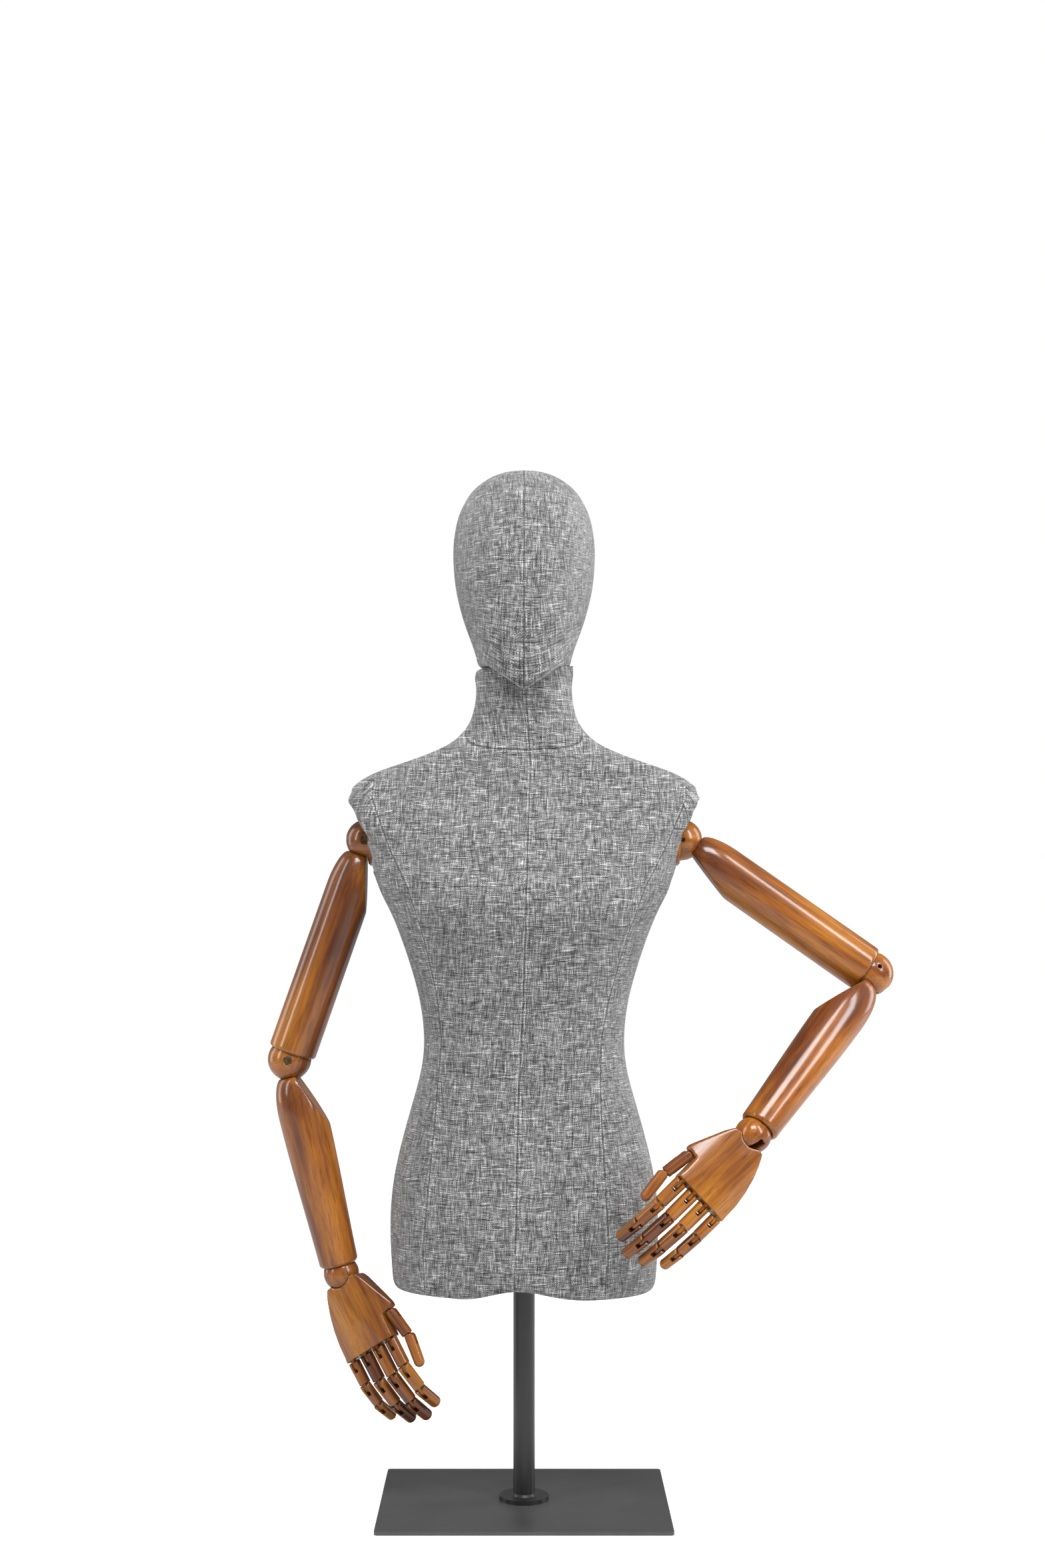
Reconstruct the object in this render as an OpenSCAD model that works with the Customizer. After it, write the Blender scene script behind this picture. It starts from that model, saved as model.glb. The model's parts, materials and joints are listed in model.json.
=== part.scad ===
// Jointed display mannequin: a fabric-covered torso and head on a steel stand,
// with turned wooden arms and hands. Millimetres, +Z up, the front faces -Y.
// The origin is on the floor, on the pole's axis.

/* [Stand] */
// Width of the base plate
plate_w = 330; // [260:1:420]
// Depth of the base plate
plate_d = 257; // [200:1:340]
// Thickness of the base plate
plate_t = 4; // [3:0.5:8]
// Corner radius of the base plate
plate_corner = 4; // [1:0.5:20]
// Diameter of the disc at the pole's foot
flange_d = 57; // [45:1:90]
// Thickness of the disc at the pole's foot
flange_t = 5; // [3:0.5:10]
// Outer diameter of the pole
pole_d = 25; // [20:1:32]
// Wall of the pole's tube
pole_wall = 2; // [1.5:0.5:4]
// Height of the pole's top end, which carries the torso at its lowest setting
pole_top = 430; // [380:1:520]
// Shank diameter of the bolt up through the base plate
bolt_d = 8; // [6:1:10]

/* [Torso] */
// Height of the torso's hem above the floor
hem_z = 250; // [220:1:300]
// Height of the torso from the hem to the top of the neck
torso_h = 710; // [600:1:850]
// Width over the hips
hip_w = 307; // [270:1:380]
// Width at the waist
waist_w = 228; // [190:1:290]
// Width over the tips of the shoulders
shoulder_w = 395; // [350:1:470]
// Diameter of the neck
neck_d = 106; // [90:1:125]
// Depth of the bust in front of the pole's axis
bust_f = 104; // [80:1:130]
// Wall of the moulded torso and head
shell_t = 5; // [3:0.5:8]
// Thickness of the fabric cover
fabric_t = 1.2; // [0.8:0.1:2.5]
// Angle that the hips turn to the figure's right
hip_twist = 6; // [0:1:10]

/* [Head] */
// Width of the head
head_w = 161; // [140:1:185]
// Height of the head above the top of the neck
head_h = 226; // [190:1:270]
// How far the chin hangs below the top of the neck
chin_drop = 27; // [10:1:35]
// Diameter of the peg that the head turns on
peg_d = 20; // [14:1:28]

/* [Arms] */
// Distance of each shoulder ball's centre in from the tip of the shoulder
shoulder_inset = 16; // [8:0.5:24]
// Diameter of the shoulder ball
shoulder_ball_d = 48; // [40:1:56]
// Diameter of the wooden disc in the armhole
shoulder_disc_d = 59; // [50:1:64]
// Distance from shoulder ball to elbow ball
upper_arm_len = 268; // [220:1:320]
// Diameter of the upper arm
upper_arm_d = 54; // [46:1:60]
// Diameter of the elbow ball
elbow_ball_d = 50; // [42:1:56]
// Distance from elbow ball to wrist ball
forearm_len = 254; // [210:1:300]
// Largest diameter of the forearm
forearm_d = 56; // [48:1:62]
// Diameter of the forearm at the wrist
forearm_end_d = 44; // [38:1:48]
// Diameter of the wrist ball
wrist_ball_d = 41; // [36:1:46]
// Thickness of the tongue inside a shoulder or elbow ball
tongue_t = 10; // [6:0.5:14]
// Shank diameter of the shoulder and elbow screws
screw_d = 5; // [4:0.5:6]

/* [Hands] */
// Distance from the wrist ball to the knuckle hinges
palm_len = 102; // [85:1:120]
// Spacing of the knuckle hinges
knuckle_gap = 18.3; // [16:0.1:22]
// Diameter of the fingers
finger_d = 14; // [11:0.5:15]
// Thickness of the finger tongues
finger_tongue_t = 4; // [3:0.5:6]
// Diameter of the hinge pins in the fingers
finger_pin_d = 2; // [1.5:0.25:3]

/* [Hidden] */
SIDES = ["right", "left"];
FINGERS = ["index", "middle", "ring", "little"];
JOINTS = ["base", "mid", "tip"];
ARM_PARTS = ["shoulder_ball", "shoulder_screw", "upper_arm", "elbow_ball",
    "elbow_screw", "forearm", "wrist_ball", "palm"];
FINGER_NODES = [for (s = SIDES) for (f = FINGERS) for (j = JOINTS) str(s, "_", f, "_", j)];
THUMB_NODES = [for (s = SIDES) for (j = ["base", "tip"]) str(s, "_thumb_", j)];

$fn = 64;
run_gap = 0.05;      // radial clearance of a shaft that turns in a hole
ball_gap = 0.5;      // clearance of a ball in its cup
slot_gap = 0.2;      // clearance at each face of a tongue
face_gap = 0.3;      // clearance between two end faces that move past each other

// ---- Pose of the arms as they stand, one value per side: [right, left] ----
// Degrees that the hanging arm is held further out for each mm of longer torso or wider hip,
// so that its hand stays clear of the hip
hold_out_length = 0.06;
hold_out_hip = 0.055;
arm_lift = [19.4 + hold_out_length * (torso_h - 710) + hold_out_hip * (hip_w - 307), 55];     // upper arm away from the vertical
arm_swing = [0, 0];          // upper arm forwards
elbow_twist = [0, -26];      // elbow ball about the upper arm's axis
elbow_bend = [33, 95];     // forearm against the upper arm
wrist_twist = [-145, -36];    // wrist ball about the forearm's axis
wrist_bend = [24, 10];       // hand against the forearm, towards the palm
hand_roll = [123, 30];         // hand about its own length, against the wrist's tongue
knuckle_bend = [5, 10];       // first finger segment
middle_bend = [21, 16];      // second finger segment
tip_bend = [23, 16];         // third finger segment
thumb_out = [8, 7];        // thumb away from the fingers
thumb_bend = [18, 15];       // thumb's second segment, back towards the fingers

// ---- Colours ----
cloth = [0.46, 0.46, 0.47];
shell_grey = [0.75, 0.74, 0.70];
wood = [0.58, 0.31, 0.11];
dark_wood = [0.48, 0.24, 0.08];
board_wood = [0.70, 0.55, 0.36];
pole_black = [0.13, 0.13, 0.14];
plate_grey = [0.27, 0.27, 0.28];
steel = [0.66, 0.66, 0.68];
bush_white = [0.85, 0.85, 0.82];

// ================= Outlines through stations =================

// Slope of column k at station i, from its neighbours.
function slope(S, i, k) =
    let (a = max(i - 1, 0), b = min(i + 1, len(S) - 1))
    (S[b][k] - S[a][k]) / (S[b][0] - S[a][0]);

// Station below height h.
function below(S, h, i = 0) =
    i + 2 >= len(S) || h < S[i + 1][0] ? i : below(S, h, i + 1);

// Column k at height h, on a smooth curve through the stations.
function along(S, h, k) =
    let (
        i = below(S, h),
        d = S[i + 1][0] - S[i][0],
        t = max(0, min(1, (h - S[i][0]) / d)),
        t2 = t * t,
        t3 = t2 * t
    )
    (2 * t3 - 3 * t2 + 1) * S[i][k] + (t3 - 2 * t2 + t) * d * slope(S, i, k)
    + (3 * t2 - 2 * t3) * S[i + 1][k] + (t3 - t2) * d * slope(S, i + 1, k);

function smooth(a, b, v) =
    let (t = max(0, min(1, (v - a) / (b - a)))) t * t * (3 - 2 * t);
function power(v, e) = sign(v) * pow(abs(v), e);
function bump(v, w) = exp(-(v / w) * (v / w));

// Faces of a closed skin over m rings of n points each, capped at both ends.
function skin_faces(n, m) = concat(
    [[for (j = [0:n - 1]) n - 1 - j]],
    [for (i = [0:m - 2]) for (j = [0:n - 1]) [i * n + j, i * n + (j + 1) % n, (i + 1) * n + j]],
    [for (i = [0:m - 2]) for (j = [0:n - 1])
        [i * n + (j + 1) % n, (i + 1) * n + (j + 1) % n, (i + 1) * n + j]],
    [[for (j = [0:n - 1]) (m - 1) * n + j]]);
module skin(rings) {
    n = len(rings[0]);
    points = [for (ring = rings) for (p = ring) p];
    faces = [for (f = skin_faces(n, len(rings))) [for (i = [len(f) - 1:-1:0]) f[i]]];
    polyhedron(points, faces, convexity = 6);
}
function reversed(v) = [for (i = [len(v) - 1:-1:0]) v[i]];

// ================= Torso =================

u = torso_h / 710;           // heights below are for a torso of 710
hip = hip_w / 2;
waist = waist_w / 2;
tip = shoulder_w / 2;
shoulder_x = tip - shoulder_inset;           // distance of each shoulder ball from the pole's axis
neck = neck_d / 2;
bust = bust_f;

// Height above the hem, half width, depth in front of the axis, depth behind it.
STATIONS = [
    [0, hip - 3.5, 94, 108], [65 * u, hip, 99, 114], [115 * u, hip - 3, 97, 111],
    [160 * u, mix(waist, hip, 0.7), 91, 100], [206 * u, mix(waist, hip, 0.38), 83, 87],
    [250 * u, mix(waist, hip, 0.08), 77, 78], [283 * u, waist, 76, 74],
    [330 * u, waist + 5, 81, 78], [391 * u, mix(waist, tip, 0.27), bust - 9, 88],
    [430 * u, mix(waist, tip, 0.45), bust, 95], [452 * u, mix(waist, tip, 0.585), bust - 1, 98],
    [483 * u, mix(waist, tip, 0.70), bust - 9, 101], [514 * u, mix(waist, tip, 0.8), bust - 21, 99],
    [545 * u, tip - 4, bust - 35, 92], [560 * u, tip, bust - 43, 86], [575 * u, tip - 3, bust - 50, 80],
    [591 * u, mix(neck, tip, 0.8), bust - 55, 73], [606 * u, mix(neck, tip, 0.5), bust - 57, 66],
    [622 * u, mix(neck, tip, 0.24), bust - 57, 60], [637 * u, neck + 16.5, neck - 3, 58],
    [652 * u, neck + 7, neck - 1.5, 57], [668 * u, neck + 2.5, neck, neck + 1.5],
    [690 * u, neck + 0.5, neck, neck + 0.5], [torso_h, neck, neck, neck]];
function mix(a, b, t) = a + (b - a) * t;

// The armhole is an oval sunk into each side, with a flat floor.
armhole_h = 521 * u;                         // height of its middle above the hem
armhole_floor = shoulder_x - 32.5;           // distance of the floor from the pole's axis
armhole_y = shoulder_disc_d / 2 + 4;         // half its depth from front to back
armhole_z = shoulder_disc_d / 2 + 14;        // half its height
shoulder_z = hem_z + 514 * u;                // height of the shoulder balls

// How far a side point at half width x may stand out, at depth y and height h.
function sunk(x, y, h, floor_x, grow) =
    let (
        ey = y / (armhole_y - grow),
        ez = (h - armhole_h) / (armhole_z - grow),
        e = sqrt(ey * ey + ez * ez),
        most = floor_x + grow + max(0, e - 0.96) * 260
    )
    sign(x) * min(abs(x), most);

// Point of the torso's surface: angle a from +X, height h, moved out by grow.
function torso_point(a, h, grow, inset = 0, floor_x = armhole_floor) =
    let (
        squareness = 2.3 + 0.9 * bump(h - armhole_h, 75 * u),
        roundness = 2 / mix(squareness, 2, smooth(600 * u, 650 * u, h)),
        front = sin(a) < 0,
        w = along(STATIONS, h, 1) + grow - inset,
        d = along(STATIONS, h, front ? 2 : 3) + grow - inset,
        x = w * power(cos(a), roundness),
        y = d * power(sin(a), roundness),
        chest = front ? 13 * bump(abs(x) - 74, 44) * bump(h - 436 * u, 40) * -sin(a) : 0,
        seat = front ? 0 : 11 * bump(abs(x) - 62, 48) * bump(h - 70 * u, 52) * sin(a),
        yy = y - chest + seat,
        xx = sunk(x, yy, h, floor_x, grow),
        turn = -hip_twist * (1 - smooth(40 * u, 400 * u, h))
    )
    [xx * cos(turn) - yy * sin(turn), xx * sin(turn) + yy * cos(turn)];

// Angles round the torso, closer together at the armholes.
torso_segs = 40;
TORSO_ANGLES = [for (i = [0:torso_segs - 1])
    let (a = 360 * i / torso_segs) a - 17 * sin(2 * a)];
// The hem rises a little in the middle of the front and the back.
hem_arch = 13;
hem_arch_w = 30;
hem_lip = 12;
function hem_rise(p, h) = hem_arch * bump(p[0], hem_arch_w) * (1 - smooth(0, 70, h));

function torso_ring(h, grow, inset = 0, lift = 0, floor_x = armhole_floor, arch = 1) =
    let (z_grow = grow * (smooth(540 * u, 580 * u, h) - (1 - smooth(0, 14, h))))
    [for (a = TORSO_ANGLES)
        let (p = torso_point(a, h + lift, grow, inset, floor_x))
        [p[0], p[1], hem_z + h + z_grow + arch * hem_rise(p, h)]];

// Heights of the rings: the hem's turn, the body, the armholes, the shoulders, the neck.
HEM_TURN = [[0, hem_lip], [0, 6], [2.5, 2.5], [7, 0.5]];
BODY_HEIGHTS = concat(
    [14], [for (h = [40:29:417]) h * u], [436, 452, 464] * u,
    [for (i = [0:15]) (474 + 6.4 * i) * u],
    [576, 583, 591, 599, 607, 615, 623, 631, 640, 652, 670, 692] * u, [torso_h]);
function torso_outside(grow) = concat(
    [for (t = HEM_TURN) torso_ring(t[0], grow, t[1])],
    [for (h = BODY_HEIGHTS) torso_ring(h, grow)]);

// The inner wall is plainer, and is thick behind the armholes.
board_z = 16;                                // height of the bottom board above the hem
board_t = 12;
inner_floor = armhole_floor - 8;
INNER_HEIGHTS = concat([16, 30], [80, 140, 200, 250, 283, 330, 390, 430, 452, 470, 500, 545] * u,
    [572, 590, 603, 616, 632, 660] * u);
function torso_inside() = concat(
    [torso_ring(0, 0, hem_lip + 4), torso_ring(15, 0, hem_lip + 4)],
    [for (h = INNER_HEIGHTS)
        torso_ring(h, 0, shell_t, 7 * u * smooth(545 * u, 590 * u, h),
            min(inner_floor, inner_floor + 300 * smooth(590 * u, 600 * u, h)), 0)]);

module torso_form() {
    color(shell_grey) skin(concat(reversed(torso_inside()), torso_outside(0)));
}

module torso_cover() {
    color(cloth) skin(concat(reversed(torso_outside(0)), torso_outside(fabric_t)));
}

// ================= Stand =================

bolt_r = bolt_d / 2;
pole_r = pole_d / 2;
bolt_head_r = bolt_d - 1;
bolt_len = 24;
pole_plug = 20;
pole_foot = plate_t + flange_t;

module countersunk(r, head_r, len) {
    union() {
        cylinder(h = head_r - r, r1 = head_r, r2 = r);
        cylinder(h = len, r = r);
    }
}

module base_plate() {
    w = plate_w / 2 - plate_corner;
    d = plate_d / 2 - plate_corner;
    color(plate_grey) difference() {
        union() {
            translate([-w, -plate_d / 2, 0]) cube([2 * w, plate_d, plate_t]);
            translate([-plate_w / 2, -d, 0]) cube([plate_w, 2 * d, plate_t]);
            for (x = [-w, w]) for (y = [-d, d])
                translate([x, y, 0]) cylinder(h = plate_t, r = plate_corner);
        }
        translate([0, 0, -1]) cylinder(h = plate_t + 2, r = bolt_r + run_gap);
        translate([0, 0, -0.01])
            cylinder(h = bolt_head_r - bolt_r + 0.06, r1 = bolt_head_r + 0.06, r2 = bolt_r);
    }
}

module pole_flange() {
    bead = 2.5;
    color(pole_black) difference() {
        union() {
            translate([0, 0, plate_t]) cylinder(h = flange_t, r = flange_d / 2);
        }
        translate([0, 0, plate_t - 1]) cylinder(h = flange_t + 2, r = bolt_r + run_gap);
    }
    color(pole_black) translate([0, 0, pole_foot]) rotate_extrude()
        translate([pole_r, 0]) polygon([[0, 0], [bead, 0], [0, bead]]);
}

module pole() {
    color(pole_black) difference() {
        translate([0, 0, pole_foot]) cylinder(h = pole_top - pole_foot, r = pole_r);
        translate([0, 0, pole_foot + pole_plug]) cylinder(h = pole_top, r = pole_r - pole_wall);
        translate([0, 0, pole_foot - 1])
            cylinder(h = bolt_len + 1 - plate_t - flange_t + 3, r = bolt_r + run_gap);
    }
}

module pole_bolt() {
    key = bolt_d * 0.6;
    color(steel) difference() {
        countersunk(bolt_r, bolt_head_r, bolt_len);
        translate([0, 0, -1]) cylinder(h = 3.2, r = key / 2, $fn = 6);
    }
}

// ---- What slides and turns on the pole ----
bush_t = 2.5;
bush_r = pole_r + run_gap + bush_t;
socket_t = 3;
socket_r = bush_r + run_gap + socket_t;
socket_low = hem_z - 2;
socket_cap = 6;
bush_len = 150;
socket_flange_r = socket_r + 20;
socket_flange_t = 4;
board_top = hem_z + board_z + board_t;
clamp_z = hem_z + 7;
clamp_r = 3;
clamp_knob_r = 8;

module pole_bush() {
    color(bush_white) difference() {
        translate([0, 0, socket_low + 1]) cylinder(h = bush_len, r = bush_r);
        translate([0, 0, socket_low]) cylinder(h = bush_len + 2, r = pole_r + run_gap);
    }
}

module pole_socket() {
    color(pole_black) difference() {
        union() {
            translate([0, 0, socket_low]) cylinder(h = pole_top + socket_cap - socket_low, r = socket_r);
            translate([0, 0, board_top]) cylinder(h = socket_flange_t, r = socket_flange_r);
            translate([0, socket_r - 2, clamp_z]) rotate([-90, 0, 0]) cylinder(h = 6, r = clamp_r + 3);
        }
        translate([0, 0, socket_low - 1]) cylinder(h = pole_top - socket_low + 1, r = bush_r + run_gap);
        translate([0, 0, clamp_z]) rotate([-90, 0, 0]) cylinder(h = 40, r = clamp_r + run_gap);
        for (a = [45:90:315])
            rotate([0, 0, a]) translate([socket_r + 11, 0, board_top - 1])
                cylinder(h = socket_flange_t + 2, r = 2.5);
    }
}

module thumb_screw() {
    grip = 12;
    color(steel) union() {
        translate([0, bush_r + 0.1, clamp_z]) rotate([-90, 0, 0]) cylinder(h = 22, r = clamp_r);
        difference() {
            translate([0, bush_r + 14, clamp_z]) rotate([-90, 0, 0]) cylinder(h = grip, r = clamp_knob_r);
            for (a = [0:30:330])
                translate([0, bush_r + 13, clamp_z]) rotate([-90, 0, 0]) rotate([0, 0, a])
                    translate([clamp_knob_r + 0.6, 0, 0]) cylinder(h = grip + 2, r = 1.5, $fn = 16);
        }
    }
}

module bottom_board() {
    outline = [for (p = torso_ring(16, 0, shell_t, 0, inner_floor, 0)) [p[0], p[1]]];
    color(board_wood) difference() {
        translate([0, 0, hem_z + board_z]) linear_extrude(board_t) polygon(outline * 0.998);
        translate([0, 0, hem_z]) cylinder(h = 100, r = socket_r + 0.2);
    }
}

// Wood screws that hold the socket, the board and the armhole discs.
module wood_screw(head_r, len) {
    union() {
        sphere_cap(head_r, 2.2);
        translate([0, 0, -len]) cylinder(h = len + 0.5, r = 1.9);
    }
}
module sphere_cap(r, h) {
    big = (r * r + h * h) / (2 * h);
    intersection() {
        translate([0, 0, h - big]) sphere(r = big);
        cylinder(h = h + 1, r = r);
    }
}
module body_screws() {
    color(steel) {
        for (a = [45:90:315])
            rotate([0, 0, a]) translate([socket_r + 11, 0, board_top + socket_flange_t]) wood_screw(4.5, 14);
        for (x = [-1, 1]) for (y = [-1, 1])
            translate([x * hip * 0.55, y * 45, hem_z + board_z]) rotate([180, 0, 0]) wood_screw(4.5, 10);
    }
}

module shoulder_discs() {
    r = shoulder_disc_d / 2;
    cup = shoulder_ball_d / 2 + ball_gap;
    face = shoulder_x - 2.5;
    low = armhole_floor + fabric_t;
    edge = 2;
    color(wood) for (side = [-1, 1])
        difference() {
            translate([side * low, 0, shoulder_z]) rotate([0, side * 90, 0]) union() {
                cylinder(h = face - low - edge, r = r);
                translate([0, 0, face - low - edge]) cylinder(h = edge, r1 = r, r2 = r - edge);
            }
            translate([side * shoulder_x, 0, shoulder_z]) sphere(r = cup);
            translate([side * low, 0, shoulder_z]) rotate([0, side * 90, 0])
                translate([0, 0, -1]) cylinder(h = 30, r = dowel_r + run_gap);
        }
}

// ================= Head =================

neck_top = hem_z + torso_h;
seat_z = neck_top + fabric_t;                // the neck's fabric top, which carries the head
head_low = seat_z + face_gap;
peg_r = peg_d / 2;
hw = head_w / 2;
v = head_h / 226;

// Height above the underside, half width, depth in front of the axis, depth behind it.
HEAD_STATIONS = [
    [-chin_drop, hw * 0.60, 77, 50], [0, hw * 0.635, 90, 56], [17 * v, hw * 0.685, 95, 66],
    [33 * v, hw * 0.755, 98, 76], [48 * v, hw * 0.825, 101, 84], [63 * v, hw * 0.88, 103, 90],
    [79 * v, hw * 0.935, 105, 95], [94 * v, hw * 0.968, 106, 98], [110 * v, hw * 0.99, 106, 100],
    [125 * v, hw, 105, 100], [140 * v, hw, 103, 99], [156 * v, hw * 0.975, 99, 96],
    [171 * v, hw * 0.938, 93, 91], [186 * v, hw * 0.857, 84, 83], [202 * v, hw * 0.727, 71, 70],
    [214 * v, hw * 0.54, 53, 52], [222 * v, hw * 0.32, 32, 31], [head_h, hw * 0.05, 5, 5]];
head_segs = 32;
head_back = 2;                               // the crown sits this far behind the axis
underside_r = neck + fabric_t + 1.3;         // the jaw clears the neck as the head turns

function head_point(a, h, grow) =
    let (
        w = along(HEAD_STATIONS, h, 1) + grow,
        d = along(HEAD_STATIONS, h, sin(a) < 0 ? 2 : 3) + grow
    )
    [w * cos(a), d * sin(a)];

// Lower edge of the head: it drops to the chin in front.
jaw_half = 62;
function jaw_low(a) =
    let (off = min(abs(a - 270), jaw_half) / jaw_half)
    -chin_drop * (1 - smooth(0, 1, off) * 0.35 - 0.65 * off);
HEAD_ANGLES = [for (i = [0:head_segs - 1]) 360 * i / head_segs];
function head_radius(a, grow) =
    let (p = head_point(a, 0, grow)) norm(p);
function head_at(a, t, grow) =
    let (low = jaw_low(a), h = mix(low, head_h, t), p = head_point(a, max(h, low), grow))
    [p[0], p[1], head_low + h + grow * smooth(0.55, 0.95, t)];
HEAD_STEPS = [0.02, 0.05, 0.1, 0.16, 0.23, 0.31, 0.39, 0.47, 0.55, 0.63, 0.71, 0.78, 0.84,
    0.89, 0.93, 0.96, 0.982, 1];
function head_flat(r, z) = [for (a = HEAD_ANGLES) [r * cos(a), r * sin(a), z]];
// Underside: a flat seat, a step down behind the jaw, and the jaw's own edge.
function head_under(grow) = concat(
    [[for (a = HEAD_ANGLES)
        let (r = min(underside_r - grow, head_radius(a, grow) - 4))
        [r * cos(a), r * sin(a), head_low]]],
    [[for (a = HEAD_ANGLES)
        let (r = min(underside_r - grow + 0.8, head_radius(a, grow) - 3))
        [r * cos(a), r * sin(a), head_low + jaw_low(a) * 0.93 - 0.2]]],
    [[for (a = HEAD_ANGLES)
        let (p = head_point(a, jaw_low(a), grow), k = 1 - 5 / norm(p))
        [p[0] * k, p[1] * k, head_low + jaw_low(a) * (1 + (0.4 + grow) / chin_drop)]]]);
function head_outside(grow, hole_r) = concat(
    [head_flat(hole_r, head_low)], head_under(grow),
    [for (t = HEAD_STEPS) [for (a = HEAD_ANGLES) head_at(a, t, grow)]]);
HEAD_INNER = [0.12, 0.2, 0.3, 0.42, 0.55, 0.68, 0.8, 0.88, 0.94];
function head_inside(hole_r) = concat(
    [head_flat(hole_r, head_low + shell_t)],
    [for (t = HEAD_INNER) [for (a = HEAD_ANGLES)
        let (p = head_point(a, head_h * t, -shell_t - 1)) [p[0], p[1], head_low + head_h * t - 2]]]);

module head_form() {
    hole = (peg_r + face_gap) / cos(180 / head_segs);
    color(shell_grey) skin(concat(reversed(head_inside(hole)), head_outside(0, hole)));
}
// The cover ends at the edge of the underside.
module head_cover() {
    under = 3;
    inner = head_outside(0, peg_r);
    outer = head_outside(fabric_t, peg_r);
    last = len(inner) - 1;
    color(cloth) skin(concat([for (i = [last:-1:under]) inner[i]], [for (i = [under:last]) outer[i]]));
}

module neck_peg() {
    base = neck_top - 30 * u;
    tall = 60;
    color(dark_wood) union() {
        translate([0, 0, base]) cylinder(h = neck_top - base + tall - 4, r = peg_r);
        translate([0, 0, neck_top + tall - 4]) cylinder(h = 4, r1 = peg_r, r2 = peg_r - 4);
    }
}

// ================= Arms =================
// Every arm is drawn as the right one, hanging along -Z with -X away from the
// body and -Y to the front. The left one is its mirror image.

dowel_r = 8;
wrist_dowel_r = 6;
tongue_r = 12;
tongue_half = 7;
screw_r = screw_d / 2;
screw_head_r = screw_d * 1.1;

module on_shoulder(s) {
    mirror([s, 0, 0]) translate([-shoulder_x, 0, shoulder_z]) rotate([-arm_swing[s], 0, 0]) children();
}
module on_upper_arm(s) {
    on_shoulder(s) rotate([0, arm_lift[s], 0]) children();
}
module on_elbow(s) {
    on_upper_arm(s) translate([0, 0, -upper_arm_len]) rotate([0, 0, elbow_twist[s]]) children();
}
module on_forearm(s) {
    on_elbow(s) rotate([0, -elbow_bend[s], 0]) children();
}
module on_wrist(s) {
    on_forearm(s) translate([0, 0, -forearm_len]) rotate([0, 0, wrist_twist[s]]) children();
}
module on_wrist_tongue(s) {
    on_wrist(s) rotate([wrist_bend[s], 0, 0]) children();
}
module on_palm(s) {
    on_wrist_tongue(s) rotate([0, 0, hand_roll[s]]) children();
}

// Outline of the space that a tongue sweeps: half is half the tongue's width, and
// it swings from low to high degrees, from straight down towards -X.
function sweep_outline(low, high, half, reach) = concat(
    [[half * cos(low), -half * sin(low)]],
    [[half * cos(low) - reach * sin(low), -half * sin(low) - reach * cos(low)]],
    [for (i = [1:3]) let (a = mix(low, high, i / 4)) [-1.3 * reach * sin(a), -1.3 * reach * cos(a)]],
    [[-half * cos(high) - reach * sin(high), half * sin(high) - reach * cos(high)]],
    [[-half * cos(high), half * sin(high)]]);

// A ball with a slot for a tongue, and a hole for the screw along Y, sunk for its head
// on the side that face gives: 1 for -Y and -1 for +Y. Its dowel is a child.
module slotted_ball(r, low, high, face) {
    difference() {
        union() {
            sphere(r = r);
            children();
        }
        rotate([90, 0, 0]) cylinder(h = slot_t, r = tongue_r + face_gap, center = true);
        rotate([90, 0, 0]) linear_extrude(slot_t, center = true)
            polygon(sweep_outline(low, high, tongue_half + face_gap, 2 * r));
        rotate([90, 0, 0]) cylinder(h = 4 * r, r = screw_r + run_gap, center = true);
        rotate([face * 90, 0, 0]) translate([0, 0, ball_flat(r)]) cylinder(h = r, r = screw_head_r + run_gap);
        rotate([face * 90, 0, 0]) translate([0, 0, ball_flat(r) - screw_head_r + screw_r])
            cylinder(h = screw_head_r - screw_r, r1 = screw_r, r2 = screw_head_r + run_gap);
    }
}
function ball_flat(r) = sqrt(r * r - screw_head_r * screw_head_r) - 0.6;

// A countersunk screw with a cross recess, along the Y axis with its head in front.
module cross_screw(r) {
    head = ball_flat(r);
    slot = screw_head_r * 0.28;
    arm = screw_head_r * 1.1;
    difference() {
        rotate([90, 0, 0]) union() {
            translate([0, 0, head - screw_head_r + screw_r + 0.1])
                cylinder(h = screw_head_r - screw_r - 0.1, r1 = screw_r, r2 = screw_head_r);
            translate([0, 0, -r * 0.8]) cylinder(h = head + r * 0.8 - 1, r = screw_r);
        }
        for (a = [45, 135])
            translate([0, -head, 0]) rotate([0, a, 0]) cube([2 * slot, 3, 2 * arm], center = true);
    }
}

shoulder_r = shoulder_ball_d / 2;
elbow_r = elbow_ball_d / 2;
wrist_r = wrist_ball_d / 2;
arm_stop = 19.3;                 // the upper arm meets the shoulder disc at this lift
arm_travel = 61;                 // and rises this far from there
bend_stop = 97;                  // the forearm meets the upper arm at this bend
slot_t = tongue_t + 2 * slot_gap;
SCREW_FACE = [1, -1];             // the right arm's screws face forwards, the left arm's back

module shoulder_ball(s) {
    color(wood) on_shoulder(s)
        slotted_ball(shoulder_r, arm_stop - 2, arm_stop + arm_travel + 2, SCREW_FACE[s])
            rotate([0, 90, 0]) cylinder(h = 31, r = dowel_r);
}
module elbow_ball(s) {
    color(wood) on_elbow(s)
        mirror([1, 0, 0])
            slotted_ball(elbow_r, -4, bend_stop + 2, SCREW_FACE[s])
                cylinder(h = 45, r = dowel_r);
}
module shoulder_screw(s) {
    color(steel) on_shoulder(s) rotate([0, 0, 90 - 90 * SCREW_FACE[s]]) cross_screw(shoulder_r);
}
module elbow_screw(s) {
    color(steel) on_elbow(s) rotate([0, 0, 90 - 90 * SCREW_FACE[s]]) cross_screw(elbow_r);
}

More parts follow.
